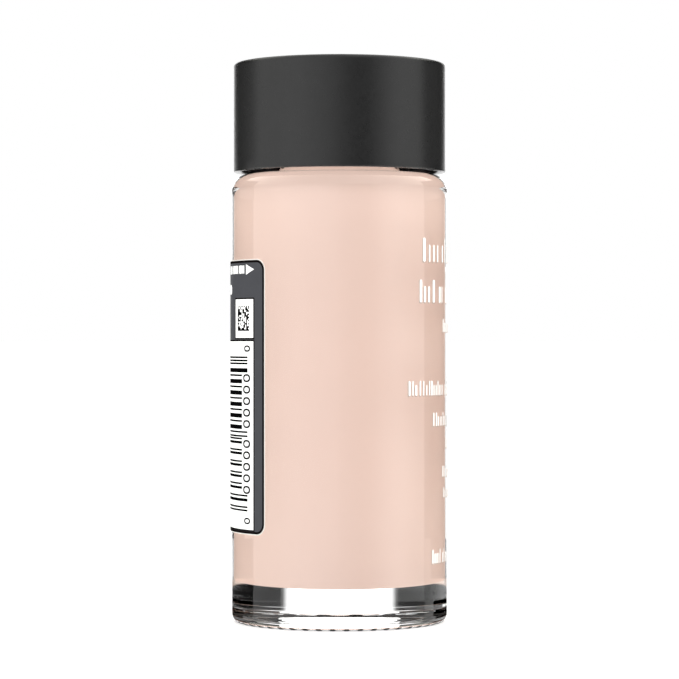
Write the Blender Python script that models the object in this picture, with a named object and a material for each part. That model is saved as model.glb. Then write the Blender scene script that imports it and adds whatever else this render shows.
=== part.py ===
"""Foundation bottle: a thick-walled round glass bottle with a screw cap.

Frame: metres, +Z up, origin at the centre of the plane the bottle stands on.
-Y is the front (the printed side), +Y the back (the side label), and the
label's free edge is towards -X with its fold line towards +X.

Pieces: glass_bottle, foundation_liquid, orifice_reducer, cap_liner,
cap_thread_insert, cap_shell, back_label_base, label_leaf.
"""

import math

import bmesh
import bpy

# ---------------------------------------------------------------- dimensions
# All driving dimensions are in millimetres and become metres in mm().

SEGMENTS = 48  # facets round every turned piece

# glass bottle
BOTTLE_R = 18.0  # outside radius of the body
HEEL_TOP_Z = 2.45  # where the body starts to turn in to the base
BASE_Z = 0.2  # the moulded ring that carries the lands
RING_IN_R, RING_OUT_R = 15.0, 16.95  # that ring's inner and outer radius
LAND_IN_R, LAND_OUT_R = 15.35, 16.85  # each land's radial reach
LAND_WIDTH = 0.95  # across the land
PUSH_UP = 0.6  # height of the dished base at the centre
SHOULDER_TOP_Z = 74.0
SHOULDER_R = 2.6  # outside radius of the shoulder's corner
NECK_R = 9.8  # thread root
NECK_TOP_Z = 84.0
BORE_R = 6.25
WELL_R = 12.05  # inside radius of the thick wall
FLOOR_Z = 6.4  # inside floor, on a heavy base
WELL_TOP_Z = 70.5  # where the inside starts to close to the neck
WELL_CORNER_R = 0.45  # inside, between the floor and the wall

# neck thread, right-hand, of the 22-400 kind
PITCH = 3.175
THREAD_CREST_R = 10.82
THREAD_Z = 77.6  # height of the bead's middle where it starts
THREAD_TURNS = 1.25

# fill
FILL_GAP = 0.3
FILL_TOP_Z = 75.8

# orifice reducer
PLUG_R = 6.05
PLUG_BOTTOM_Z = 76.6
PLUG_WALL = 0.7
FLANGE_R = 8.5
FLANGE_T = 0.75
ORIFICE_R = 2.5
SEAT_GAP = 0.1  # between faces that rest on each other

# cap liner
LINER_R = 10.7
LINER_T = 1.0

# threaded insert
INSERT_ROOT_R = 11.05
INSERT_CREST_R = 10.15
INSERT_R = 12.3
INSERT_FLANGE_R = 16.1
INSERT_FLANGE_T = 1.0
INSERT_BOTTOM_Z = 75.0
INSERT_TOP_T = 1.15

# outer shell of the cap
CAP_R = 17.55
CAP_WALL = 1.25
CAP_BOTTOM_Z = 74.4
CAP_TOP_Z = 92.4
CAP_TOP_T = 1.5
CAP_EDGE_R = 0.5

# back label: base ply, and the printed leaf that lifts off it
LABEL_HALF_ANGLE = 47.75  # the leaf's reach, degrees each side of +Y
LABEL_BOTTOM_Z, LABEL_TOP_Z = 15.05, 59.6
LABEL_CORNER_R = 1.7
BASE_MARGIN = 0.3  # how far the base ply shows round the leaf
PLY_T = 0.05
BASE_PLY_R = BOTTLE_R + 0.02
LEAF_R = BOTTLE_R + 0.09


def mm(value):
    return value * 0.001


# ------------------------------------------------------------------- helpers
def arc(r, z, radius, start, end, steps):
    """Points on an arc in the (radius, height) plane, angles in degrees."""
    return [
        (
            r + radius * math.cos(math.radians(start + (end - start) * i / steps)),
            z + radius * math.sin(math.radians(start + (end - start) * i / steps)),
        )
        for i in range(steps + 1)
    ]


def bezier(points, steps):
    """Points on a cubic curve, ends included."""
    (ar, az), (br, bz), (cr, cz), (dr, dz) = points
    out = []
    for i in range(steps + 1):
        t = i / steps
        s = 1 - t
        out.append(
            (
                s**3 * ar + 3 * s * s * t * br + 3 * s * t * t * cr + t**3 * dr,
                s**3 * az + 3 * s * s * t * bz + 3 * s * t * t * cz + t**3 * dz,
            )
        )
    return out


def material(name, colour, roughness, metallic=0.0, transmission=0.0, ior=1.5):
    made = bpy.data.materials.new(name)
    made.use_nodes = True
    shader = made.node_tree.nodes["Principled BSDF"]
    shader.inputs["Base Color"].default_value = (*colour, 1.0)
    shader.inputs["Roughness"].default_value = roughness
    shader.inputs["Metallic"].default_value = metallic
    shader.inputs["Transmission Weight"].default_value = transmission
    shader.inputs["IOR"].default_value = ior
    return made


def place(name, bm, finish, at=(0.0, 0.0, 0.0), smooth=35.0):
    bmesh.ops.recalc_face_normals(bm, faces=bm.faces[:])
    mesh = bpy.data.meshes.new(name)
    bm.to_mesh(mesh)
    bm.free()
    mesh.shade_smooth()
    mesh.set_sharp_from_angle(angle=math.radians(smooth))
    made = bpy.data.objects.new(name, mesh)
    made.location = at
    mesh.materials.append(finish)
    bpy.context.collection.objects.link(made)
    return made


def turned(profile, segments=SEGMENTS):
    """A solid of revolution about Z. The profile runs from the axis round the
    section and back to the axis, or closes on itself when it has no point on
    the axis."""
    bm = bmesh.new()
    verts = [bm.verts.new((mm(r), 0.0, mm(z))) for r, z in profile]
    edges = [bm.edges.new(pair) for pair in zip(verts, verts[1:])]
    if profile[0][0] > 0:
        edges.append(bm.edges.new((verts[-1], verts[0])))
    bmesh.ops.spin(
        bm,
        geom=verts + edges,
        cent=(0, 0, 0),
        axis=(0, 0, 1),
        angle=2 * math.pi,
        steps=segments,
        use_merge=True,
        use_duplicate=False,
    )
    bmesh.ops.remove_doubles(bm, verts=bm.verts[:], dist=1e-6)
    bmesh.ops.dissolve_degenerate(bm, edges=bm.edges[:], dist=1e-7)
    return bm


def helical_bead(name, base_r, crest_r, fade_r, half_base, half_crest, start_z, first, turns):
    """A thread bead as a closed sweep. It fades at both ends to fade_r, which
    lies inside the wall it is joined to."""
    bm = bmesh.new()
    steps = int(round(SEGMENTS * turns))
    fade = SEGMENTS / 6
    rings = []
    for i in range(steps + 1):
        turn = first + i / SEGMENTS
        angle = 2 * math.pi * turn
        z = start_z + PITCH * turn
        near = min(1.0, i / fade, (steps - i) / fade)
        grow = near * near * (3 - 2 * near)
        top_r = fade_r + (crest_r - fade_r) * grow
        half_top = half_base + (half_crest - half_base) * (0.35 + 0.65 * grow)
        ring = []
        for r, dz in (
            (base_r, -half_base),
            (top_r, -half_top),
            (top_r, half_top),
            (base_r, half_base),
        ):
            ring.append(
                bm.verts.new(
                    (mm(r * math.cos(angle)), mm(r * math.sin(angle)), mm(z + dz))
                )
            )
        rings.append(ring)
    for a, b in zip(rings, rings[1:]):
        for k in range(4):
            bm.faces.new((a[k], a[(k + 1) % 4], b[(k + 1) % 4], b[k]))
    bm.faces.new(rings[0])
    bm.faces.new(rings[-1])
    bmesh.ops.triangulate(bm, faces=bm.faces[:])
    bead = place(name, bm, GUIDE)
    bead.hide_render = True
    bead.display_type = "WIRE"
    return bead


def join_bead(piece, bead):
    union = piece.modifiers.new("thread", "BOOLEAN")
    union.operation = "UNION"
    union.solver = "EXACT"
    union.object = bead


def ply(name, inner_r, margin, finish, pivot=None):
    """A thin curved sheet with rounded corners, standing off the body and
    reaching past the leaf's outline by the margin."""
    outer_r = inner_r + PLY_T
    step = 180.0 / SEGMENTS  # every facet edge and every facet's middle
    half = LABEL_HALF_ANGLE + math.degrees(margin / inner_r)
    from_deg, to_deg = 90.0 - half, 90.0 + half
    corner_r = LABEL_CORNER_R + margin
    corner = math.degrees(corner_r / inner_r)
    angles = {from_deg, to_deg}
    for share in (0.08, 0.3, 0.62, 1.0):
        angles |= {from_deg + corner * share, to_deg - corner * share}
    k = math.ceil(from_deg / step)
    while k * step < to_deg:
        a = k * step
        if a - from_deg > corner * 1.05 and to_deg - a > corner * 1.05:
            angles.add(a)
        k += 1
    centre = pivot or (0.0, 0.0)
    bm = bmesh.new()
    rings = []
    for a in sorted(angles):
        edge = math.radians(min(a - from_deg, to_deg - a)) * inner_r
        drop = 0.0
        if edge < corner_r:
            reach = corner_r - edge
            drop = corner_r - math.sqrt(max(0.0, corner_r**2 - reach * reach))
        low = LABEL_BOTTOM_Z - margin + drop
        high = LABEL_TOP_Z + margin - drop
        c, s = math.cos(math.radians(a)), math.sin(math.radians(a))
        rings.append(
            [
                bm.verts.new(
                    (mm(r * c) - centre[0], mm(r * s) - centre[1], mm(z))
                )
                for r, z in (
                    (inner_r, low),
                    (outer_r, low),
                    (outer_r, high),
                    (inner_r, high),
                )
            ]
        )
    for a, b in zip(rings, rings[1:]):
        for k in range(4):
            bm.faces.new((a[k], a[(k + 1) % 4], b[(k + 1) % 4], b[k]))
    bm.faces.new(rings[0])
    bm.faces.new(rings[-1])
    return place(name, bm, finish, at=(*centre, 0.0), smooth=50.0)


# --------------------------------------------------------------------- scene
for old in list(bpy.data.objects):
    bpy.data.objects.remove(old, do_unlink=True)

GUIDE = material("guide", (0.5, 0.5, 0.5), 0.5)
GLASS = material("flint_glass", (0.96, 0.97, 0.97), 0.02, transmission=1.0, ior=1.52)
LIQUID = material("foundation", (0.87, 0.66, 0.56), 0.35)
REDUCER = material("natural_polyethylene", (0.86, 0.86, 0.84), 0.4)
FOAM = material("liner_foam", (0.9, 0.9, 0.88), 0.7)
INSERT = material("insert_polypropylene", (0.02, 0.02, 0.02), 0.45)
SHELL = material("satin_black_plastic", (0.035, 0.035, 0.036), 0.42)
BACKING = material("label_base_film", (0.9, 0.89, 0.86), 0.4)
LEAF = material("label_leaf_film", (0.09, 0.09, 0.1), 0.4)


# --------------------------------------------------------------- glass bottle
def bottle_profile():
    outside = [
        (0.0, PUSH_UP),
        (5.0, PUSH_UP - 0.04),
        (9.5, PUSH_UP - 0.18),
        (12.6, BASE_Z + 0.06),
        (RING_IN_R, BASE_Z),
        (RING_OUT_R, BASE_Z),
    ]
    outside += bezier(
        [
            (RING_OUT_R + 0.12, BASE_Z + 0.02),
            (BOTTLE_R - 0.22, BASE_Z + 0.12),
            (BOTTLE_R, 1.0),
            (BOTTLE_R, HEEL_TOP_Z),
        ],
        5,
    )
    outside += arc(
        BOTTLE_R - SHOULDER_R, SHOULDER_TOP_Z - SHOULDER_R, SHOULDER_R, 0, 90, 6
    )
    outside += [
        (NECK_R + 0.75, SHOULDER_TOP_Z),
        (NECK_R + 0.2, SHOULDER_TOP_Z + 0.2),
        (NECK_R, SHOULDER_TOP_Z + 0.7),
        (NECK_R, NECK_TOP_Z - 0.5),
        (NECK_R - 0.45, NECK_TOP_Z),
        (BORE_R + 0.4, NECK_TOP_Z),
        (BORE_R, NECK_TOP_Z - 0.4),
    ]
    corner = WELL_CORNER_R
    inside = [
        (BORE_R, WELL_TOP_Z + 3.6),
        (BORE_R + 0.35, WELL_TOP_Z + 2.75),
        (BORE_R + 1.4, WELL_TOP_Z + 2.3),
        (WELL_R - 2.0, WELL_TOP_Z + 1.85),
        (WELL_R - 0.6, WELL_TOP_Z + 1.15),
        (WELL_R, WELL_TOP_Z),
        (WELL_R, FLOOR_Z + corner),
    ]
    inside += arc(WELL_R - corner, FLOOR_Z + corner, corner, -30, -90, 2)
    inside += [(6.0, FLOOR_Z - 0.05), (0.0, FLOOR_Z - 0.1)]
    return outside + inside


def add_lands(bm):
    """Stand a land on each facet of the base ring; the bottle rests on them."""
    ring = [
        f
        for f in bm.faces
        if all(abs(v.co.z - mm(BASE_Z)) < 1e-6 for v in f.verts)
        and all(
            mm(RING_IN_R) - 1e-5 < math.hypot(v.co.x, v.co.y) < mm(RING_OUT_R) + 1e-5
            for v in f.verts
        )
    ]
    for face in ring:
        middle = face.calc_center_median()
        turn = math.atan2(middle.y, middle.x)
        radial = (math.cos(turn), math.sin(turn))
        across = (-radial[1], radial[0])
        around = [v for v in face.verts]
        foot, top = [], []
        for v in around:
            out = math.hypot(v.co.x, v.co.y) > mm((RING_IN_R + RING_OUT_R) / 2)
            side = 1.0 if v.co.x * across[0] + v.co.y * across[1] > 0 else -1.0
            for ring_list, z, grow in ((foot, BASE_Z - 0.02, 0.1), (top, 0.0, 0.0)):
                r = mm((LAND_OUT_R + grow * 0.5) if out else (LAND_IN_R - grow))
                w = mm(LAND_WIDTH / 2 + grow)
                ring_list.append(
                    bm.verts.new(
                        (
                            radial[0] * r + across[0] * w * side,
                            radial[1] * r + across[1] * w * side,
                            mm(z),
                        )
                    )
                )
        bm.faces.remove(face)
        n = len(around)
        for i in range(n):
            j = (i + 1) % n
            bm.faces.new((around[i], around[j], foot[j], foot[i]))
            bm.faces.new((foot[i], foot[j], top[j], top[i]))
        bm.faces.new(top)


bottle_bm = turned(bottle_profile())
add_lands(bottle_bm)
glass_bottle = place("glass_bottle", bottle_bm, GLASS)
neck_bead = helical_bead(
    "neck_bead_guide",
    base_r=NECK_R - 0.7,
    crest_r=THREAD_CREST_R,
    fade_r=NECK_R - 0.35,
    half_base=1.1,
    half_crest=0.45,
    start_z=THREAD_Z,
    first=0.0,
    turns=THREAD_TURNS,
)
join_bead(glass_bottle, neck_bead)

# ------------------------------------------------------------------- the fill
fill_r = WELL_R - FILL_GAP
fill_neck_r = BORE_R - FILL_GAP
fill_corner = WELL_CORNER_R - FILL_GAP
liquid_profile = [
    (0.0, FLOOR_Z + FILL_GAP),
    (fill_r - fill_corner, FLOOR_Z + FILL_GAP),
    (fill_r - 0.3 * fill_corner, FLOOR_Z + FILL_GAP + 0.3 * fill_corner),
    (fill_r, FLOOR_Z + FILL_GAP + fill_corner),
    (fill_r, WELL_TOP_Z - 0.1),
    (WELL_R - 0.82, WELL_TOP_Z + 0.9),
    (WELL_R - 2.1, WELL_TOP_Z + 1.53),
    (BORE_R + 1.25, WELL_TOP_Z + 1.98),
    (BORE_R + 0.08, WELL_TOP_Z + 2.5),
    (fill_neck_r, WELL_TOP_Z + 3.5),
    (fill_neck_r, FILL_TOP_Z),
    (0.0, FILL_TOP_Z),
]
place("foundation_liquid", turned(liquid_profile), LIQUID)

# ------------------------------------------------------------ orifice reducer
flange_low = NECK_TOP_Z + SEAT_GAP
flange_high = flange_low + FLANGE_T
reducer_profile = [
    (ORIFICE_R, PLUG_BOTTOM_Z),
    (PLUG_R - 0.35, PLUG_BOTTOM_Z),
    (PLUG_R, PLUG_BOTTOM_Z + 0.5),
    (PLUG_R, flange_low),
    (FLANGE_R - 0.1, flange_low),
    (FLANGE_R, flange_low + 0.15),
    (FLANGE_R, flange_high - 0.15),
    (FLANGE_R - 0.15, flange_high),
    (PLUG_R - PLUG_WALL + 0.3, flange_high),
    (PLUG_R - PLUG_WALL, flange_high - 0.3),
    (PLUG_R - PLUG_WALL, PLUG_BOTTOM_Z + 1.25),
    (PLUG_R - PLUG_WALL - 0.35, PLUG_BOTTOM_Z + 0.9),
    (ORIFICE_R + 0.2, PLUG_BOTTOM_Z + 0.75),
    (ORIFICE_R, PLUG_BOTTOM_Z + 0.55),
]
place("orifice_reducer", turned(reducer_profile), REDUCER)

# ----------------------------------------------------------------- cap liner
liner_low = flange_high + SEAT_GAP
liner_high = liner_low + LINER_T
liner_profile = [
    (0.0, liner_low),
    (LINER_R - 0.1, liner_low),
    (LINER_R, liner_low + 0.1),
    (LINER_R, liner_high - 0.1),
    (LINER_R - 0.1, liner_high),
    (0.0, liner_high),
]
place("cap_liner", turned(liner_profile), FOAM)

# ------------------------------------------------------------ threaded insert
insert_ceiling = liner_high + SEAT_GAP
insert_top = insert_ceiling + INSERT_TOP_T
insert_profile = [
    (0.0, insert_ceiling),
    (INSERT_ROOT_R, insert_ceiling),
    (INSERT_ROOT_R, INSERT_BOTTOM_Z + 0.6),
    (INSERT_ROOT_R + 0.3, INSERT_BOTTOM_Z),
    (INSERT_FLANGE_R, INSERT_BOTTOM_Z),
    (INSERT_FLANGE_R, INSERT_BOTTOM_Z + INSERT_FLANGE_T),
    (INSERT_R + 0.3, INSERT_BOTTOM_Z + INSERT_FLANGE_T),
    (INSERT_R, INSERT_BOTTOM_Z + INSERT_FLANGE_T + 0.4),
    (INSERT_R, insert_top - 0.5),
    (INSERT_R - 0.5, insert_top),
    (0.0, insert_top),
]
cap_thread_insert = place("cap_thread_insert", turned(insert_profile), INSERT)
insert_bead = helical_bead(
    "insert_bead_guide",
    base_r=INSERT_ROOT_R + 0.6,
    crest_r=INSERT_CREST_R,
    fade_r=INSERT_ROOT_R + 0.3,
    half_base=0.6,
    half_crest=0.32,
    start_z=THREAD_Z - PITCH / 2,
    first=0.25,
    turns=THREAD_TURNS,
)
join_bead(cap_thread_insert, insert_bead)

# ------------------------------------------------------------------ cap shell
bore = CAP_R - CAP_WALL
ceiling = CAP_TOP_Z - CAP_TOP_T
shell_profile = [
    (0.0, ceiling),
    (9.0, ceiling),
    (9.0, insert_top + SEAT_GAP),
    (10.2, insert_top + SEAT_GAP),
    (10.2, ceiling),
    (bore - 0.4, ceiling),
    (bore, ceiling - 0.4),
    (bore, CAP_BOTTOM_Z + 0.3),
    (bore + 0.25, CAP_BOTTOM_Z),
    (CAP_R - 0.3, CAP_BOTTOM_Z),
    (CAP_R - 0.09, CAP_BOTTOM_Z + 0.09),
    (CAP_R, CAP_BOTTOM_Z + 0.3),
]
shell_profile += arc(CAP_R - CAP_EDGE_R, CAP_TOP_Z - CAP_EDGE_R, CAP_EDGE_R, 0, 90, 3)
shell_profile += [(0.0, CAP_TOP_Z)]
place("cap_shell", turned(shell_profile), SHELL)

# ----------------------------------------------------------------- back label
ply("back_label_base", BASE_PLY_R, BASE_MARGIN, BACKING)
fold_deg = 90.0 - LABEL_HALF_ANGLE
fold_r = LEAF_R + PLY_T
fold = (
    mm(fold_r * math.cos(math.radians(fold_deg))),
    mm(fold_r * math.sin(math.radians(fold_deg))),
)
ply("label_leaf", LEAF_R, 0.0, LEAF, pivot=fold)
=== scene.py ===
"""Looks of the foundation bottle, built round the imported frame.

Every length below is in millimetres and becomes metres when a mesh is made.
Angles on the bottle are polar about +Z: 90 is the side label, 180 the side
that faces the camera, 270 the printed front.
"""

import math
import random

import bpy
import numpy as np
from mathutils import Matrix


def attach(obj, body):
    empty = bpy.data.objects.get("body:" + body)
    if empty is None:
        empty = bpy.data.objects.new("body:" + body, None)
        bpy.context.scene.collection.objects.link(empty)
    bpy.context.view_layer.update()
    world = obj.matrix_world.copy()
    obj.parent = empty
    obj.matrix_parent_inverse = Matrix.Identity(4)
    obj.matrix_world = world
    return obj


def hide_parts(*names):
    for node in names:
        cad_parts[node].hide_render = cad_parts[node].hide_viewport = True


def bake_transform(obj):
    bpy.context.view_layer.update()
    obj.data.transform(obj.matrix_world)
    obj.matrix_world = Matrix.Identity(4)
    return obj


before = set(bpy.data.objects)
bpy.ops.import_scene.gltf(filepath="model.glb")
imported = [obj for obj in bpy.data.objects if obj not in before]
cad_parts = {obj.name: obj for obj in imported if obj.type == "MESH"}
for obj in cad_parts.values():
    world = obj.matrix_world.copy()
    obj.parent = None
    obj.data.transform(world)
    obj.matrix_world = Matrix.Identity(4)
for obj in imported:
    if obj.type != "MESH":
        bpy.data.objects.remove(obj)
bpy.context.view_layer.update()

MM = 0.001


# ------------------------------------------------------------- mesh making
def arc(r, z, radius, start, end, steps):
    """Points of an arc in the (radius, height) plane, angles in degrees."""
    made = []
    for i in range(steps + 1):
        a = math.radians(start + (end - start) * i / steps)
        made.append((r + radius * math.cos(a), z + radius * math.sin(a)))
    return made


def bezier(a, b, c, d, steps):
    made = []
    for i in range(steps + 1):
        t = i / steps
        s = 1 - t
        made.append(
            tuple(
                s**3 * p + 3 * s * s * t * q + 3 * s * t * t * u + t**3 * v
                for p, q, u, v in zip(a, b, c, d)
            )
        )
    return made


def rounded(corners, steps=5):
    """A polyline through (r, z, fillet) corners with each corner rounded off."""
    made = []
    for i, (x, y, fillet) in enumerate(corners):
        if fillet <= 0 or i in (0, len(corners) - 1):
            made.append((x, y))
            continue
        p = np.array((x, y))
        a = np.array(corners[i - 1][:2]) - p
        b = np.array(corners[i + 1][:2]) - p
        la, lb = np.linalg.norm(a), np.linalg.norm(b)
        a, b = a / la, b / lb
        half = math.acos(max(-1.0, min(1.0, float(a @ b)))) / 2
        if half > math.radians(89) or half < math.radians(2):
            made.append((x, y))
            continue
        reach = min(fillet / math.tan(half), 0.48 * la, 0.48 * lb)
        radius = reach * math.tan(half)
        middle = (a + b) / np.linalg.norm(a + b)
        centre = p + middle * (radius / math.sin(half))
        start, end = p + a * reach - centre, p + b * reach - centre
        t0 = math.atan2(start[1], start[0])
        t1 = math.atan2(end[1], end[0])
        turn = (t1 - t0 + math.pi) % (2 * math.pi) - math.pi
        for k in range(steps + 1):
            t = t0 + turn * k / steps
            made.append(
                (centre[0] + radius * math.cos(t), centre[1] + radius * math.sin(t))
            )
    return made


def spaced(points, most):
    """The polyline with extra points, so that no step is longer than most."""
    made = [points[0]]
    for (ax, ay), (bx, by) in zip(points, points[1:]):
        n = max(1, math.ceil(math.hypot(bx - ax, by - ay) / most))
        made += [(ax + (bx - ax) * k / n, ay + (by - ay) * k / n) for k in range(1, n + 1)]
    return made


def turned(profile, segments, shift=None):
    """Vertices and faces of a closed turned solid. shift(theta, r, z) moves a
    row's vertices to carry a thread or a ring of feet."""
    theta = np.arange(segments) * (2 * np.pi / segments)
    c, s = np.cos(theta), np.sin(theta)
    verts, rows = [], []
    for r, z in profile:
        start = len(verts)
        if r < 1e-6:
            verts.append((0.0, 0.0, z))
            rows.append([start])
            continue
        rr, zz = np.full(segments, float(r)), np.full(segments, float(z))
        if shift is not None:
            rr, zz = shift(theta, rr, zz)
        verts.extend(zip(rr * c, rr * s, zz))
        rows.append(list(range(start, start + segments)))
    if len(rows[0]) > 1:
        rows.append(rows[0])
    faces = []
    for a, b in zip(rows, rows[1:]):
        if len(a) == 1 and len(b) == 1:
            continue
        for k in range(segments):
            n = (k + 1) % segments
            if len(a) == 1:
                faces.append((a[0], b[n], b[k]))
            elif len(b) == 1:
                faces.append((a[k], a[n], b[0]))
            else:
                faces.append((a[k], a[n], b[n], b[k]))
    return verts, faces


def on_body(theta, radius, z):
    a = math.radians(theta)
    return (radius * math.cos(a), radius * math.sin(a), z)


def add_strip(verts, faces, columns, low_r, high_r):
    """A closed curved plate. columns are (theta, lowest z, highest z)."""
    rings = []
    for theta, z0, z1 in columns:
        start = len(verts)
        verts.extend(
            (
                on_body(theta, low_r, z0),
                on_body(theta, high_r, z0),
                on_body(theta, high_r, z1),
                on_body(theta, low_r, z1),
            )
        )
        rings.append([start + k for k in range(4)])
    for a, b in zip(rings, rings[1:]):
        for k in range(4):
            n = (k + 1) % 4
            faces.append((a[k], b[k], b[n], a[n]))
    faces.append(tuple(rings[0]))
    faces.append(tuple(reversed(rings[-1])))


def plate_columns(t0, t1, z0, z1, corner=0.0, radius=18.0, step=1.5, corner_points=5):
    """Columns of a rectangle wrapped round the body, with rounded corners."""
    per_mm = math.degrees(1.0 / radius)
    corner = min(corner, (z1 - z0) * 0.5 - 1e-4, (t1 - t0) / per_mm * 0.5 - 1e-4)
    angles = {t0, t1}
    if corner > 0.005:
        for k in range(1, corner_points + 1):
            share = 1 - math.cos(math.pi / 2 * k / corner_points)
            angles |= {t0 + corner * per_mm * share, t1 - corner * per_mm * share}
    inside = max(corner, 0.0) * per_mm
    k = math.ceil((t0 + inside) / step)
    while k * step < t1 - inside:
        a = k * step
        if a - t0 - inside > step * 0.08 and t1 - inside - a > step * 0.08:
            angles.add(a)
        k += 1
    columns = []
    for a in sorted(angles):
        edge = min(a - t0, t1 - a) / per_mm
        drop = 0.0
        if edge < corner:
            drop = corner - math.sqrt(max(0.0, corner**2 - (corner - edge) ** 2))
        low, high = z0 + drop, z1 - drop
        if high - low < 0.004:
            low, high = (low + high) / 2 - 0.002, (low + high) / 2 + 0.002
        columns.append((a, low, high))
    return columns


def add_plate(shape, t0, t1, z0, z1, low_r, high_r, corner=0.0, corner_points=5):
    add_strip(
        shape[0],
        shape[1],
        plate_columns(t0, t1, z0, z1, corner, corner_points=corner_points),
        low_r,
        high_r,
    )


def add_ring(shape, theta, z, half_wide, half_high, across, up, low_r, high_r, steps=40):
    """A closed thin oval ring printed on the body; across and up are how thick
    its stroke is round the body and along it."""
    verts, faces = shape
    per_mm = math.degrees(1.0 / 18.0)
    rings = []
    for k in range(steps):
        a = 2 * math.pi * k / steps
        ca, sa = math.cos(a), math.sin(a)
        ca = math.copysign(abs(ca) ** 0.85, ca)
        sa = math.copysign(abs(sa) ** 0.85, sa)
        start = len(verts)
        for inset, r in ((0, low_r), (0, high_r), (1, high_r), (1, low_r)):
            verts.append(
                on_body(
                    theta + (half_wide - inset * across) * ca * per_mm,
                    r,
                    z + (half_high - inset * up) * sa,
                )
            )
        rings.append([start + k for k in range(4)])
    for k in range(steps):
        a, b = rings[k], rings[(k + 1) % steps]
        for j in range(4):
            n = (j + 1) % 4
            faces.append((a[j], b[j], b[n], a[n]))


def outward(verts, faces):
    """The faces, turned over where the solid they close has them inside out."""
    v = np.array(verts, float)
    volume = 0.0
    for f in faces:
        for k in range(1, len(f) - 1):
            volume += float(np.dot(v[f[0]], np.cross(v[f[k]], v[f[k + 1]])))
    return [tuple(reversed(f)) for f in faces] if volume < 0 else faces


def piece(name, verts, faces, material, smooth=32.0):
    mesh = bpy.data.meshes.new(name)
    faces = outward(verts, faces)
    mesh.from_pydata([tuple(x * MM for x in v) for v in verts], [], faces)
    mesh.update()
    mesh.validate()
    mesh.shade_smooth()
    mesh.set_sharp_from_angle(angle=math.radians(smooth))
    mesh.materials.append(material)
    made = bpy.data.objects.new(name, mesh)
    bpy.context.scene.collection.objects.link(made)
    return made


# --------------------------------------------------------------- materials
class Net:
    """Short names for building a node tree."""

    def __init__(self, tree):
        self.tree = tree

    def new(self, kind, **values):
        node = self.tree.nodes.new(kind)
        for key, value in values.items():
            setattr(node, key, value)
        return node

    def put(self, socket, value):
        if hasattr(value, "is_output"):
            self.tree.links.new(value, socket)
        else:
            socket.default_value = value

    def math(self, operation, a, b=0.0, c=0.0):
        node = self.new("ShaderNodeMath", operation=operation)
        for socket, value in zip(node.inputs, (a, b, c)):
            self.put(socket, value)
        return node.outputs[0]

    def times(self, *values):
        made = values[0]
        for value in values[1:]:
            made = self.math("MULTIPLY", made, value)
        return made

    def between(self, value, low, high, to_low, to_high, kind="SMOOTHSTEP"):
        node = self.new("ShaderNodeMapRange", interpolation_type=kind)
        node.clamp = True
        for name, v in (
            ("Value", value),
            ("From Min", low),
            ("From Max", high),
            ("To Min", to_low),
            ("To Max", to_high),
        ):
            self.put(node.inputs[name], v)
        return node.outputs["Result"]

    def mix(self, factor, a, b):
        node = self.new("ShaderNodeMix", data_type="RGBA")
        self.put(node.inputs["Factor"], factor)
        self.put(node.inputs[6], a)
        self.put(node.inputs[7], b)
        return node.outputs[2]

    def noise(self, vector, scale, detail=2.0, rough=0.5, offset=None):
        if offset is not None:
            move = self.new("ShaderNodeVectorMath", operation="ADD")
            self.put(move.inputs[0], vector)
            move.inputs[1].default_value = offset
            vector = move.outputs[0]
        node = self.new("ShaderNodeTexNoise")
        self.put(node.inputs["Vector"], vector)
        node.inputs["Scale"].default_value = scale
        node.inputs["Detail"].default_value = detail
        node.inputs["Roughness"].default_value = rough
        return node.outputs[0]

    def ramp(self, value, stops, kind="LINEAR"):
        node = self.new("ShaderNodeValToRGB")
        node.color_ramp.interpolation = kind
        points = node.color_ramp.elements
        while len(points) > 1:
            points.remove(points[0])
        points[0].position = stops[0][0]
        points[0].color = (*stops[0][1], 1.0)
        for at, colour in stops[1:]:
            made = points.new(at)
            made.color = (*colour, 1.0)
        self.put(node.inputs[0], value)
        return node.outputs[0]


def tone(colour, share):
    return tuple(min(1.0, c * share) for c in colour) + (1.0,)


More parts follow.
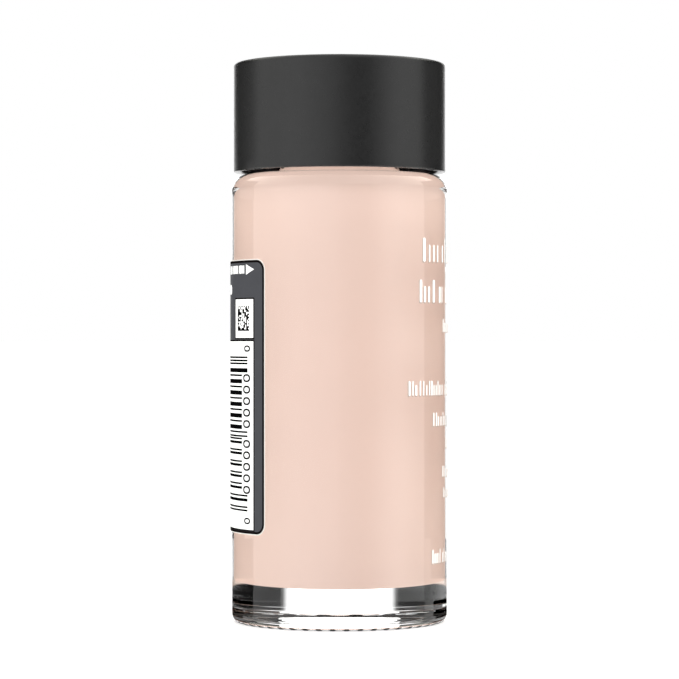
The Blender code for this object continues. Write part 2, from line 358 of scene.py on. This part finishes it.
def finish(
    name,
    colour,
    spread,
    colour_scale,
    roughness,
    rough_scale,
    bump_scale,
    bump_depth,
    bump_strength=0.5,
    speck=None,
    wear=None,
    **numbers,
):
    """A material whose colour, roughness and surface vary with the place on the
    piece. spread is how far the colour drifts, roughness a (low, high) pair,
    speck a (scale, share, colour) of small flecks, and wear a (z, reach, share)
    list of edges where handling has polished and lightened the surface."""
    made = bpy.data.materials.new(name)
    made.use_nodes = True
    net = Net(made.node_tree)
    shader = made.node_tree.nodes["Principled BSDF"]
    place = net.new("ShaderNodeTexCoord").outputs["Object"]
    drift = net.noise(place, colour_scale, 3.0)
    tint = net.mix(
        net.between(drift, 0.3, 0.7, 0.0, 1.0, "LINEAR"),
        tone(colour, 1 - spread),
        tone(colour, 1 + spread),
    )
    if speck:
        scale, share, fleck = speck
        spots = net.noise(place, scale, 1.0, offset=(0.31, 0.17, 0.23))
        tint = net.mix(net.between(spots, 0.66, 0.74, 0.0, share), tint, (*fleck, 1.0))
    rough = net.between(
        net.noise(place, rough_scale, 2.0, offset=(0.11, 0.29, 0.07)),
        0.3,
        0.7,
        roughness[0],
        roughness[1],
        "LINEAR",
    )
    if wear:
        split = net.new("ShaderNodeSeparateXYZ")
        net.put(split.inputs[0], place)
        height = split.outputs[2]
        worn = None
        for z, reach, share in wear:
            near = net.between(
                net.math("ABSOLUTE", net.math("SUBTRACT", height, z * MM)),
                0.0,
                reach * MM,
                share,
                0.0,
            )
            worn = near if worn is None else net.math("MAXIMUM", worn, near)
        patchy = net.between(
            net.noise(place, 900.0, 3.0, offset=(0.4, 0.1, 0.2)), 0.42, 0.62, 0.25, 1.0
        )
        worn = net.times(worn, patchy)
        tint = net.mix(worn, tint, tone([c + 0.05 for c in colour], 1.25))
        rough = net.math("SUBTRACT", rough, net.times(worn, 0.12))
    net.put(shader.inputs["Base Color"], tint)
    net.put(shader.inputs["Roughness"], rough)
    bump = net.new("ShaderNodeBump")
    bump.inputs["Strength"].default_value = bump_strength
    bump.inputs["Distance"].default_value = bump_depth * MM
    net.put(bump.inputs["Height"], net.noise(place, bump_scale, 2.0))
    net.put(shader.inputs["Normal"], bump.outputs[0])
    for key, value in numbers.items():
        shader.inputs[key.replace("_", " ")].default_value = value
    return made


GLASS_IOR = 1.45

glass = finish(
    "flint_glass",
    (0.988, 0.992, 0.99),
    0.005,
    90.0,
    (0.0, 0.004),
    400.0,
    60.0,
    0.01,
    0.04,
    Transmission_Weight=1.0,
    IOR=GLASS_IOR,
)
liquid = finish(
    "foundation",
    (0.855, 0.638, 0.556),
    0.006,
    140.0,
    (0.32, 0.4),
    300.0,
    160.0,
    0.01,
    0.05,
    Specular_IOR_Level=0.0,
)
satin = finish(
    "satin_black_plastic",
    (0.0085, 0.0085, 0.0086),
    0.08,
    600.0,
    (0.27, 0.32),
    1500.0,
    9000.0,
    0.004,
    0.3,
    wear=[(92.25, 0.35, 0.12), (74.5, 0.25, 0.1)],
    Specular_IOR_Level=0.33,
)
insert_black = finish(
    "insert_polypropylene",
    (0.014, 0.014, 0.015),
    0.12,
    500.0,
    (0.36, 0.5),
    900.0,
    2600.0,
    0.01,
    0.4,
    Specular_IOR_Level=0.0,
)
natural_pe = finish(
    "natural_polyethylene",
    (0.86, 0.865, 0.85),
    0.02,
    260.0,
    (0.34, 0.46),
    700.0,
    1400.0,
    0.012,
    0.35,
    Subsurface_Weight=0.25,
    Subsurface_Scale=0.0008,
)
foam = finish(
    "liner_foam",
    (0.87, 0.87, 0.85),
    0.035,
    900.0,
    (0.62, 0.8),
    1200.0,
    5200.0,
    0.05,
    0.7,
    speck=(3600.0, 0.35, (0.72, 0.72, 0.7)),
)
base_film = finish(
    "label_base_film",
    (0.76, 0.73, 0.69),
    0.012,
    300.0,
    (0.34, 0.44),
    800.0,
    2400.0,
    0.004,
    0.3,
    Specular_IOR_Level=0.3,
)
leaf_film = finish(
    "label_leaf_film",
    (0.056, 0.0572, 0.0637),
    0.035,
    420.0,
    (0.4, 0.5),
    900.0,
    2600.0,
    0.004,
    0.3,
    speck=(5200.0, 0.2, (0.08, 0.082, 0.09)),
    Specular_IOR_Level=0.02,
)
dark_film = finish(
    "label_ink_dark",
    (0.006, 0.005, 0.005),
    0.08,
    420.0,
    (0.4, 0.5),
    900.0,
    2600.0,
    0.004,
    0.3,
    Specular_IOR_Level=0.0,
)
white_ink = finish(
    "label_ink_white",
    (0.97, 0.97, 0.965),
    0.008,
    500.0,
    (0.42, 0.52),
    900.0,
    3000.0,
    0.003,
    0.25,
    Specular_IOR_Level=0.3,
)
black_ink = finish(
    "label_ink_black",
    (0.002, 0.002, 0.0022),
    0.15,
    700.0,
    (0.4, 0.5),
    900.0,
    3000.0,
    0.003,
    0.25,
    Specular_IOR_Level=0.0,
)
screen_ink = finish(
    "screen_ink_white",
    (0.96, 0.96, 0.955),
    0.01,
    700.0,
    (0.36, 0.48),
    1100.0,
    4200.0,
    0.005,
    0.35,
)
# near black: painted shadow of the dark gap under the base, laid on the knurled ring of glass
knurl_painted_shade = finish(
    "knurled_glass_painted_shadow",
    (0.012, 0.012, 0.0125),
    0.1,
    700.0,
    (0.5, 0.62),
    1500.0,
    4200.0,
    0.01,
    0.4,
    Specular_IOR_Level=0.05,
)
# a darker brown copy of the front print's marks, set down and left of each: painted shadow of
# the white ink
painted_shadow_finish = finish(
    "screen_print_painted_shadow",
    (0.40, 0.31, 0.26),
    0.05,
    700.0,
    (0.42, 0.52),
    1100.0,
    4200.0,
    0.004,
    0.3,
    Specular_IOR_Level=0.1,
)


# ------------------------------------------------------------ glass bottle
BODY_R = 17.985
PITCH = 3.175
LANDS = 48


def smooth(t):
    t = np.clip(t, 0.0, 1.0)
    return t * t * (3 - 2 * t)


def bead_height(theta, z, start_z, first, turns, half_root, half_crest):
    """How far a helical bead has risen, 0 to 1, at each vertex of a row."""
    turn = theta / (2 * np.pi)
    best = np.zeros_like(theta)
    for k in range(-1, 4):
        t = turn + k
        along = (t - first) / turns
        near = np.minimum(t - first, first + turns - t) * 6.0
        grow = smooth(near) * (along >= 0) * (along <= 1)
        away = np.abs(z - (start_z + PITCH * t))
        rise = smooth((half_root - away) / (half_root - half_crest))
        best = np.maximum(best, rise * grow)
    return best


def glass_shift(theta, r, z):
    """The thread's bead on the outside of the neck."""
    if r[0] > 9.5 and 75.6 < z[0] < 83.3 and r[0] < 10.2:
        rise = bead_height(theta, z, 77.6, 0.0, 1.25, 0.86, 0.42)
        return r + (10.82 - r) * rise, z
    return r, z


def land_shift(theta, r, z):
    """The ring of lands that the bottle stands on; each reaches up the heel."""
    pitch = 2 * np.pi / LANDS
    away = np.abs((theta / pitch) % 1.0 - 0.5) * pitch * 16.1
    across = smooth((0.62 - away) / 0.26)
    if r[0] > 17.0:
        return 17.02 + (r - 17.02) * across, 0.2 + (z - 0.2) * across
    if z[0] < 0.19 and r[0] > 15.2:
        return r, z - z * across * smooth((r[0] - 15.2) / 0.3)
    return r, z


WELL_CLOSE = ((6.25, 74.3), (6.25, 71.6), (12.05, 73.3), (12.05, 70.5))
outside = [(0.0, 0.66), (2.5, 0.65), (5.0, 0.62), (7.3, 0.56), (9.5, 0.48)]
outside += [(11.2, 0.39), (12.6, 0.3), (13.6, 0.23), (14.3, 0.2), (15.3, 0.2), (16.95, 0.2)]
outside += bezier((17.07, 0.21), (17.8, 0.28), (BODY_R, 0.75), (BODY_R, 1.7), 22)
outside += spaced([(BODY_R, 1.7), (BODY_R, 71.4)], 3.5)[1:]
outside += arc(15.4, 71.4, BODY_R - 15.4, 0, 90, 20)[1:]
outside += rounded(
    [
        (15.4, 73.985, 0),
        (10.3, 74.0, 0.9),
        (9.8, 75.3, 0.4),
        (9.8, 75.5, 0),
    ],
    5,
)[1:]
outside += [(9.8, 75.7 + 0.12 * k) for k in range(63)]
outside += rounded(
    [(9.8, 83.2, 0), (9.8, 84.0, 0.5), (6.25, 84.0, 0.4), (6.25, 83.2, 0)], 6
)[1:]
inside = spaced([(6.25, 83.2), (6.25, 74.3)], 1.6)[1:]
inside += bezier(*WELL_CLOSE, 18)[1:]
inside += spaced([(12.05, 70.5), (12.05, 6.66)], 3.5)[1:]
inside += arc(11.8, 6.66, 0.25, 0, -90, 8)[1:]
inside += [(8.5, 6.39), (6.0, 6.36), (3.0, 6.33), (0.0, 6.32)]
bottle = piece(
    "bottle_glass", *turned(outside + inside, 384, glass_shift), glass, smooth=40.0
)
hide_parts("glass_bottle")
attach(bottle, "bottle")

# The knurled ring moulded into the base, rough where the rest is polished. It is drawn near
# black as painted shadow of the dark gap where the base meets the floor.
knurled = [(14.52, 0.215), (14.5, 0.19), (14.55, 0.165), (14.8, 0.16), (15.1, 0.16)]
knurled += [(15.3, 0.16), (15.45, 0.16), (15.6, 0.16), (15.9, 0.16), (16.2, 0.16)]
knurled += [(16.5, 0.16), (16.65, 0.16), (16.8, 0.16), (16.95, 0.165)]
knurled += [(17.1, 0.06), (17.3, 0.14), (17.48, 0.24), (17.58, 0.36), (17.5, 0.4), (17.2, 0.32)]
knurled += [(16.98, 0.215), (16.0, 0.218)]
lands = piece("base_lands", *turned(knurled, 384, land_shift), knurl_painted_shade, smooth=40.0)
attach(lands, "bottle")

# ------------------------------------------------------------------ liquid
OVER = 0.02  # the fill wets the glass, so it reaches just into its wall
fill = [(0.0, 6.32 - OVER), (3.0, 6.33 - OVER), (6.0, 6.36 - OVER), (8.5, 6.39 - OVER)]
fill += arc(11.8, 6.66, 0.25 + OVER, -90, 0, 8)
fill += spaced([(12.05 + OVER, 6.66), (12.05 + OVER, 70.5)], 4.0)[1:]
fill += [(r + OVER, z + OVER * 0.7) for r, z in reversed(bezier(*WELL_CLOSE, 18))][1:]
fill += [(6.27, 74.8), (6.27, 75.35)]
fill += [(6.2, 75.62), (6.0, 75.66), (5.6, 75.62), (5.0, 75.58), (3.0, 75.56), (0.0, 75.56)]
fill_piece = piece("fill_liquid", *turned(fill, 192), liquid, smooth=60.0)
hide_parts("foundation_liquid")
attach(fill_piece, "bottle")

# ----------------------------------------------------------------- reducer
plug = rounded(
    [
        (2.5, 77.6, 0),
        (2.5, 76.6, 0.12),
        (5.6, 76.6, 0.3),
        (6.05, 77.2, 0.2),
        (6.05, 78.2, 0),
    ],
    4,
)
for ring in (78.6, 80.0, 81.4):  # sealing ribs on the plug
    plug += [(6.05, ring - 0.3), (6.12, ring - 0.17), (6.2, ring - 0.06)]
    plug += [(6.2, ring + 0.06), (6.12, ring + 0.17), (6.05, ring + 0.3)]
plug += rounded(
    [
        (6.05, 82.0, 0),
        (6.05, 84.03, 0.15),
        (8.5, 84.03, 0.12),
        (8.5, 84.85, 0.25),
        (7.2, 84.85, 0.1),
        (7.05, 84.72, 0.1),
        (6.75, 84.72, 0.1),
        (6.6, 84.85, 0.1),
        (5.35, 84.85, 0.3),
        (5.35, 77.6, 0.5),
        (3.1, 77.35, 0.1),
        (3.0, 77.6, 0.12),
        (2.5, 77.6, 0),
    ],
    4,
)[:-1]
reducer = piece("reducer_plug", *turned(plug, 160), natural_pe, smooth=40.0)
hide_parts("orifice_reducer")
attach(reducer, "bottle")

# ------------------------------------------------------------------- liner
liner_profile = [(0.0, 84.96), (3.0, 84.96), (5.2, 84.96)]
liner_profile += [(5.5, 84.99), (5.9, 85.0), (8.2, 85.0), (8.6, 84.99), (8.9, 84.96)]
liner_profile += rounded(
    [(9.4, 84.96, 0), (10.69, 84.96, 0.12), (10.69, 85.94, 0.12), (9.6, 85.94, 0)], 4
)
liner_profile += [(6.0, 85.94), (0.0, 85.94)]
liner = piece("liner_disc", *turned(liner_profile, 144), foam, smooth=40.0)
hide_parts("cap_liner")
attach(liner, "liner")


# ------------------------------------------------------------------ insert
def insert_shift(theta, r, z):
    if 10.9 < r[0] < 11.2 and 75.9 < z[0] < 84.2:
        rise = bead_height(theta, z, 77.6 - PITCH / 2, 0.25, 1.25, 0.56, 0.28)
        return r - (r - 10.15) * rise, z
    return r, z


inner = [(0.0, 86.06), (5.0, 86.06), (9.0, 86.06)]
inner += rounded([(9.0, 86.06, 0), (11.05, 86.06, 0.3), (11.05, 84.6, 0)], 4)[1:]
inner += [(11.05, 84.4 - 0.13 * k) for k in range(66)]
inner += rounded(
    [
        (11.05, 75.78, 0),
        (11.35, 75.01, 0.25),
        (16.09, 75.01, 0.15),
        (16.09, 75.99, 0.2),
        (12.3, 75.99, 0.5),
        (12.3, 87.19, 0.5),
        (0.0, 87.19, 0),
    ],
    5,
)[1:]
insert_piece = piece(
    "insert_body", *turned(inner, 192, insert_shift), insert_black, smooth=40.0
)
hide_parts("cap_thread_insert")
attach(insert_piece, "cap")

# ------------------------------------------------------------------- shell
CAP_R = 17.548
hull = rounded(
    [
        (0.0, 90.9, 0),
        (9.0, 90.9, 0.3),
        (9.0, 87.3, 0.15),
        (10.2, 87.3, 0.15),
        (10.2, 90.9, 0.3),
        (16.3, 90.9, 0.5),
        (16.3, 74.41, 0.3),
        (17.0, 74.402, 0),
    ],
    5,
)
hull += rounded([(17.0, 74.402, 0), (CAP_R, 74.402, 0.22), (CAP_R, 76.0, 0)], 6)[1:]
hull += spaced([(CAP_R, 76.0), (CAP_R, 91.6)], 2.6)[1:]
hull += arc(CAP_R - 0.5, 91.898, 0.5, 0, 90, 8)
hull += [(16.0, 92.398), (12.0, 92.398), (6.0, 92.398), (0.0, 92.398)]
shell = piece("shell_body", *turned(hull, 256), satin, smooth=40.0)
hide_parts("cap_shell")
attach(shell, "cap")

# ------------------------------------------------------------------- label
HALF = 47.75
LEAF_T0, LEAF_T1 = 90.0 - HALF, 90.0 + HALF
LEAF_Z0, LEAF_Z1 = 15.15, 59.58
MARGIN = 0.16
CORNER = 1.7
# from the glass out: base ply, leaf's back, leaf, then the print's layers
BASE_IN, BASE_OUT = 18.02, 18.07
BACK_IN, BACK_OUT, LEAF_IN, LEAF_OUT = 18.09, 18.101, 18.1015, 18.12
INK_FOOT, GREY_R, LINE_R, WHITE_R, BLACK_R = 18.108, 18.1245, 18.129, 18.1335, 18.138

margin_deg = math.degrees(MARGIN / 18.02)
film, backing, sheet = ([], []), ([], []), ([], [])
add_plate(
    film,
    LEAF_T0 - margin_deg,
    LEAF_T1 + margin_deg,
    LEAF_Z0 - MARGIN,
    LEAF_Z1 + MARGIN,
    BASE_IN,
    BASE_OUT,
    CORNER + MARGIN,
    9,
)
label_base = piece("label_base_ply", *film, base_film, smooth=50.0)
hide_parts("back_label_base")
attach(label_base, "bottle")

leaf_box = (LEAF_T0, LEAF_T1, LEAF_Z0, LEAF_Z1)
add_plate(sheet, *leaf_box, LEAF_IN, LEAF_OUT, CORNER, 9)
add_plate(backing, *leaf_box, BACK_IN, BACK_OUT, CORNER, 9)
leaf = piece("label_leaf_ply", *sheet, dark_film, smooth=50.0)
leaf_back = piece("label_leaf_back", *backing, base_film, smooth=50.0)
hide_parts("label_leaf")

grey, line, white, black = ([], []), ([], []), ([], []), ([], [])

# the grey print stops short of the leaf's edge, which shows as a dark hairline
HAIR = 0.39
hair_deg = math.degrees(HAIR / 18.1)
add_plate(
    grey,
    LEAF_T0 + hair_deg,
    LEAF_T1 - hair_deg,
    LEAF_Z0 + HAIR,
    LEAF_Z1 - HAIR,
    INK_FOOT,
    GREY_R,
    CORNER - HAIR,
    9,
)


def z_at(y):
    """Height of a mark on the label, from its place down the side view."""
    return 46.7 + (339.5 - y) / 6.16


def print_white(t0, t1, z0, z1, corner=0.0):
    add_plate(white, t0, t1, z0, z1, INK_FOOT, WHITE_R, corner)


def print_black(t0, t1, z0, z1, corner=0.0):
    add_plate(black, t0, t1, z0, z1, INK_FOOT, BLACK_R, corner)


# the two code panels, each with a darker hairline round it
for t0, t1, z0, z1 in ((58.0, 129.6, 15.8, 46.4), (110.3, 129.5, 46.97, 53.25)):
    add_plate(line, t0 - 0.95, t1 + 0.95, z0 - 0.24, z1 + 0.24, INK_FOOT, LINE_R, 0.05)
    print_white(t0, t1, z0, z1)

# bars of a generic linear code, stacked up the label
BAR_LOW_T = 65.0
LONG_T, SHORT_T = 124.5, 118.8
THIN, THICK = 0.3, 0.7


def bar(y, wide, long=False):
    z = z_at(y)
    print_black(BAR_LOW_T, LONG_T if long else SHORT_T, z - wide / 2, z + wide / 2)


for y in (357.4, 360.6, 363.6, 432.3, 436.4, 507.5, 510.8):
    bar(y, THIN, True)
bar(370.4, THICK, True)
for y in (375.5, 386.9, 398.4, 409.9, 421.4):
    bar(y, THIN)
for y in (381.5, 393.0, 404.5, 416.0, 427.4):
    bar(y, THICK)
for y in (439.0, 450.3, 461.8, 473.0, 484.1):
    bar(y, THIN)
for y in (442.8, 453.8, 465.5, 476.7, 488.2):
    bar(y, THICK * 0.62)
bar(496.0, THIN, True)
bar(500.3, THICK * 0.7, True)
for y in (378.2, 389.7, 401.2, 412.8, 424.2, 444.1, 455.5, 467.0, 478.5, 490.1):
    add_ring(black, 123.5, z_at(y), 1.08, 0.67, 0.43, 0.29, INK_FOOT, BLACK_R)
for y in (348.6, 521.2):
    add_ring(black, 124.0, z_at(y), 0.9, 0.53, 0.37, 0.26, INK_FOOT, BLACK_R)

# a generic two-dimensional code: a seeded chequer with a solid corner
rng = random.Random(7)
CODE_T0, CODE_T1, CODE_Z0, CODE_Z1 = 113.4, 126.1, 48.1, 52.2
ACROSS, UP = 13, 16
for i in range(ACROSS):
    for j in range(UP):
        solid = i == 0 or j == 0
        edge = (i == ACROSS - 1 and j % 2 == 0) or (j == UP - 1 and i % 2 == 0)
        within = i < ACROSS - 1 and j < UP - 1
        if not (solid or edge or (within and rng.random() < 0.44)):
            continue
        wide, tall = (CODE_T1 - CODE_T0) / ACROSS, (CODE_Z1 - CODE_Z0) / UP
        t0, z0 = CODE_T0 + wide * i, CODE_Z0 + tall * j
        print_black(t0, t0 + wide * 1.02, z0, z0 + tall * 1.02)

# the peeling corner's arrow and its generic bars
ARROW_T0, ARROW_T1, ARROW_Z = 123.0, 130.2, 58.08
add_strip(
    *white,
    [
        (
            ARROW_T0 + (ARROW_T1 - ARROW_T0) * k / 5,
            ARROW_Z - 0.85 * (1 - k / 5) - 0.005,
            ARROW_Z + 0.85 * (1 - k / 5) + 0.005,
        )
        for k in range(6)
    ],
    INK_FOOT,
    WHITE_R,
)
for t0, t1 in ((115.2, 121.3), (105.4, 113.8), (97.0, 104.0)):
    t = t0
    while t < t1 - 0.7:
        wide = rng.choice((1.0, 1.4, 0.8))
        print_white(t, min(t + wide, t1), 57.42, 58.78, 0.12)
        t += wide + 0.3
for z, spans in (
    (54.75, ((80.0, 89.0), (64.0, 78.0))),
    (52.6, ((74.0, 90.0), (60.0, 72.0))),
    (51.2, ((79.0, 91.0), (60.0, 77.0))),
    (49.8, ((73.0, 90.0), (62.0, 71.5))),
    (48.4, ((80.0, 91.0), (66.0, 78.0))),
):
    for t0, t1 in spans:
        print_white(t0, t1, z - 0.32, z + 0.32, 0.3)

print_white(95.0, 102.5, 54.1, 55.7, 0.7)

label_grey = piece("label_print_grey", *grey, leaf_film, smooth=40.0)
label_line = piece("label_print_line", *line, dark_film, smooth=40.0)
label_white = piece("label_print_white", *white, white_ink, smooth=40.0)
label_black = piece("label_print_black", *black, black_ink, smooth=40.0)
leaf_pieces = (leaf, leaf_back, label_grey, label_line, label_white, label_black)

for made in leaf_pieces:
    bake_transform(made)

# ------------------------------------------------------------- front print
INK_OUT, SHADE_OUT, INK_IN = 17.997, 17.991, 17.98
marks, shades = ([], []), ([], [])
LINES = (  # lowest z, highest z, half-width in degrees
    (59.3, 63.2, 41.1),
    (52.7, 56.4, 43.8),
    (47.9, 50.1, 19.6),
    (37.6, 40.0, 51.7),
    (32.6, 34.8, 31.9),
    (28.9, 30.7, 14.6),
    (24.2, 26.0, 20.5),
    (20.8, 22.5, 19.0),
    (10.2, 12.5, 32.9),
)
per_mm = math.degrees(1.0 / BODY_R)


def mark(t0, t1, z0, z1, corner):
    """One generic upright of the front print, with a painted shadow: a darker copy of it, set a
    little down and to the left.
    """
    add_plate(marks, t0, t1, z0, z1, INK_IN, INK_OUT, corner, 3)
    add_plate(
        shades,
        t0 - 0.17 * per_mm,
        t1 - 0.02 * per_mm,
        z0 - 0.15,
        z1 - 0.03,
        INK_IN,
        SHADE_OUT,
        corner,
        3,
    )


for number, (z0, z1, half) in enumerate(LINES):
    rng = random.Random(20 + number)
    tall = z1 - z0
    t, end = 270.0 - half, 270.0 + half
    first = True
    while t < end - 0.1 * tall * per_mm:
        stroke = tall * (0.16 if first else rng.choice((0.1, 0.13, 0.18))) * per_mm
        stop = min(t + stroke, end)
        top = z1 if first or rng.random() < 0.25 else z0 + tall * 0.72
        mark(t, stop, z0, top, tall * 0.07)
        gap = rng.choice((0.13, 0.17, 0.24))
        if rng.random() < 0.16 and not first:
            gap = 0.42
        t = stop + tall * gap * per_mm
        first = False
# the white marks, then their painted shadow set down and to the left
front = piece("front_print", *marks, screen_ink, smooth=40.0)
front_shade = piece("front_print_painted_shadow", *shades, painted_shadow_finish, smooth=40.0)
for made in (front, front_shade):
    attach(made, "bottle")

# The opaque pieces outside the glass don't shade the fill behind it, as when a
# bottle is lit evenly from every side.
for made in (shell, insert_piece, liner, label_base, front, front_shade, *leaf_pieces):
    made.visible_transmission = False

# ------------------------------------------------------------------- floor
floor_mesh = bpy.data.meshes.new("floor")
floor_mesh.from_pydata(
    [(-40, -40, -0.00004), (40, -40, -0.00004), (40, 40, -0.00004), (-40, 40, -0.00004)],
    [],
    [(0, 1, 2, 3)],
)
floor = bpy.data.objects.new("floor", floor_mesh)
bpy.context.scene.collection.objects.link(floor)
paper = bpy.data.materials.new("pale_floor")
paper.use_nodes = True
net = Net(paper.node_tree)
shader = paper.node_tree.nodes["Principled BSDF"]
place = net.new("ShaderNodeTexCoord").outputs["Object"]
net.put(
    shader.inputs["Base Color"],
    net.mix(net.noise(place, 30.0), (0.4, 0.4, 0.4, 1.0), (0.42, 0.42, 0.42, 1.0)),
)
shader.inputs["Roughness"].default_value = 1.0
shader.inputs["Specular IOR Level"].default_value = 0.0
shader.inputs["Emission Color"].default_value = (1.0, 1.0, 1.0, 1.0)
shader.inputs["Emission Strength"].default_value = 0.6
floor_mesh.materials.append(paper)
floor.visible_diffuse = False
floor.visible_glossy = False
floor.visible_transmission = False
floor.visible_shadow = False

# ------------------------------------------------------------------- light
# A white room with a tall soft box in front, a white card behind, and dark
# cards at both sides, all as directions: the turn is 0 towards the camera's
# side (-X), grows towards the printed front (-Y) and is 180 behind.
world = bpy.data.worlds.new("studio")
bpy.context.scene.world = world
world.use_nodes = True
tree = world.node_tree
tree.nodes.clear()
net = Net(tree)
split = net.new("ShaderNodeSeparateXYZ")
net.put(split.inputs[0], net.new("ShaderNodeTexCoord").outputs["Generated"])
dx, dy, dz = split.outputs
turn = net.times(
    net.math("ARCTAN2", net.times(dy, -1.0), net.times(dx, -1.0)), 180.0 / math.pi
)
rise = net.times(net.math("ARCSINE", dz), 180.0 / math.pi)
where = net.math("DIVIDE", net.math("ADD", turn, 180.0), 360.0)
TOP = 4.0  # a ramp holds 0 to 1, and this brings it back


def around(stops):
    made = []
    for a, v in stops:
        colour = (v,) * 3 if isinstance(v, float) else v
        made.append(((a + 180.0) / 360.0, tuple(x / TOP for x in colour)))
    return net.ramp(where, made)


band = around(
    [
        (-180.0, 2.2),
        (-164.5, 2.2),
        (-160.0, 0.0),
        (-104.4, 0.0),
        (-103.2, 1.3),
        (-94.0, 1.35),
        (-75.0, 1.6),
        (-54.0, 2.0),
        (-43.0, 2.0),
        (-30.0, 1.75),
        (-15.0, 1.45),
        (-6.0, 1.2),
        (2.0, 0.7),
        (11.0, 0.35),
        (20.0, 0.1),
        (30.0, 0.1),
        (36.0, 0.4),
        (44.0, 0.9),
        (52.0, 1.4),
        (60.0, 1.75),
        (68.0, 1.9),
        (78.0, 1.6),
        (90.0, 1.35),
        (100.6, 1.3),
        (101.8, 0.0),
        (160.0, 0.0),
        (164.5, 2.2),
        (180.0, 2.2),
    ]
)
dome = around(
    [
        (-180.0, 1.4),
        (-150.0, 2.0),
        (-136.0, (3.05, 3.05, 2.85)),
        (-100.0, (2.35, 2.35, 2.18)),
        (-70.0, 1.75),
        (-40.0, 1.45),
        (0.0, 1.4),
        (40.0, 1.55),
        (70.0, 1.95),
        (100.0, (2.75, 2.75, 2.56)),
        (136.0, (3.5, 3.5, 3.28)),
        (150.0, 2.2),
        (180.0, 1.4),
    ]
)
away = net.math("ABSOLUTE", turn)
high = net.math("ABSOLUTE", rise)
soft_part = net.between(high, 9.0, 17.0, 1.0, 0.0)
behind = net.between(away, 134.0, 139.0, 0.0, 1.0)
dark_part = net.between(
    high,
    net.math("ADD", 24.0, net.times(behind, 12.0)),
    net.math("ADD", 30.5, net.times(behind, 15.0)),
    1.0,
    0.0,
)
is_side = net.between(away, 102.4, 102.6, 0.0, 1.0, "LINEAR")
share = net.math(
    "ADD",
    net.times(dark_part, is_side),
    net.times(soft_part, net.math("SUBTRACT", 1.0, is_side)),
)
radiance = net.mix(share, dome, band)
# pale cards far to each side, seen along the upper edges of the glass
edge = around(
    [
        (-180.0, 2.2),
        (-161.5, 1.4),
        (-155.0, 1.35),
        (-149.0, 0.4),
        (-145.0, 0.0),
        (145.0, 0.0),
        (149.0, 0.4),
        (155.0, 1.35),
        (161.5, 1.4),
        (180.0, 2.2),
    ]
)
by_body = net.math(
    "MAXIMUM",
    net.times(net.between(rise, 1.3, 1.6, 0.0, 1.0), net.between(rise, 3.2, 3.4, 1.0, 0.0)),
    net.times(
        net.between(rise, -4.9, -4.85, 0.0, 0.35), net.between(rise, -4.2, -4.0, 1.0, 0.0)
    ),
)
is_edge = net.times(net.between(away, 143.0, 145.0, 0.0, 1.0), by_body)
radiance = net.mix(is_edge, radiance, edge)
# level with the cap, the cards at the sides are dim rather than black
by_cap = net.times(
    net.between(rise, 3.3, 3.5, 0.0, 1.0),
    net.between(rise, 5.9, 6.3, 1.0, 0.0),
    net.between(away, 102.0, 103.0, 0.0, 1.0),
    net.between(away, 157.0, 159.0, 1.0, 0.0),
)
dim = around(
    [
        (-180.0, 0.02),
        (-150.0, 0.04),
        (-138.0, 0.12),
        (-128.0, 0.33),
        (-104.0, 0.34),
        (104.0, 0.42),
        (126.0, 0.4),
        (138.0, 0.12),
        (150.0, 0.02),
        (180.0, 0.02),
    ]
)
radiance = net.mix(by_cap, radiance, dim)
# below the level of the fill the soft box in front gives less light
level = net.times(
    net.between(rise, -5.2, -5.1, 1.0, 0.0), net.between(rise, -12.0, -9.5, 0.0, 1.0)
)
towards_left = net.between(turn, -2.0, 2.0, 0.1, 0.55, "LINEAR")
flag = net.times(net.between(away, 102.0, 104.0, 1.0, 0.0), level, towards_left)
radiance = net.mix(flag, radiance, (0.0, 0.0, 0.0, 1.0))


def card(near, far, low, high, soft, value, side=away, tint=(1.0, 0.995, 0.985)):
    """A pale card, between two turns and two elevations; at both sides, unless
    side says which way the turn is measured."""
    here = net.times(
        net.between(side, near - 0.5, near + 0.5, 0.0, 1.0),
        net.between(side, far - soft, far + soft, 1.0, 0.0),
        net.between(rise, low - 0.015, low + 0.015, 0.0, 1.0),
        net.between(rise, high - 0.02, high + 0.02, 1.0, 0.0),
    )
    colour = tuple(x * value / TOP for x in tint) + (1.0,)
    return net.mix(here, radiance, colour)


# the pale table runs back at both sides, up to the level of the fill's foot
PEACH = (1.0, 0.77, 0.65)
radiance = card(101.5, 147.0, -5.025, -4.92, 3.0, 0.84, tint=PEACH)
radiance = card(101.5, 120.0, -4.1, 1.5, 2.0, 1.25, net.times(turn, -1.0))
radiance = card(101.5, 113.0, -4.94, -4.1, 3.0, 0.68, turn)
radiance = card(101.5, 118.0, -6.3, -5.45, 2.0, 1.3, turn)
radiance = card(101.5, 124.0, -16.0, -6.2, 3.0, 1.3)
radiance = card(158.5, 166.0, 5.9, 16.0, 1.0, 2.2)
seen = net.new("ShaderNodeBackground")
net.put(seen.inputs["Color"], (1.0, 1.0, 1.0, 1.0))
seen.inputs["Strength"].default_value = 1.0
lit = net.new("ShaderNodeBackground")
net.put(lit.inputs["Color"], radiance)
lit.inputs["Strength"].default_value = TOP
choose = net.new("ShaderNodeMixShader")
net.put(choose.inputs[0], net.new("ShaderNodeLightPath").outputs["Is Camera Ray"])
net.put(choose.inputs[1], lit.outputs[0])
net.put(choose.inputs[2], seen.outputs[0])
out = net.new("ShaderNodeOutputWorld")
net.put(out.inputs["Surface"], choose.outputs[0])

bpy.context.scene.view_settings.view_transform = "Standard"

# ------------------------------------------------------------------ camera
camera = bpy.data.cameras.new("camera")
camera.lens = 147.1
camera.sensor_width = 36.0
camera.clip_start, camera.clip_end = 0.01, 200.0
viewer = bpy.data.objects.new("camera", camera)
viewer.location = (-0.461, 0.0, 0.0467)
viewer.rotation_euler = (math.radians(90), 0.0, math.radians(-90))
bpy.context.scene.collection.objects.link(viewer)
bpy.context.scene.camera = viewer
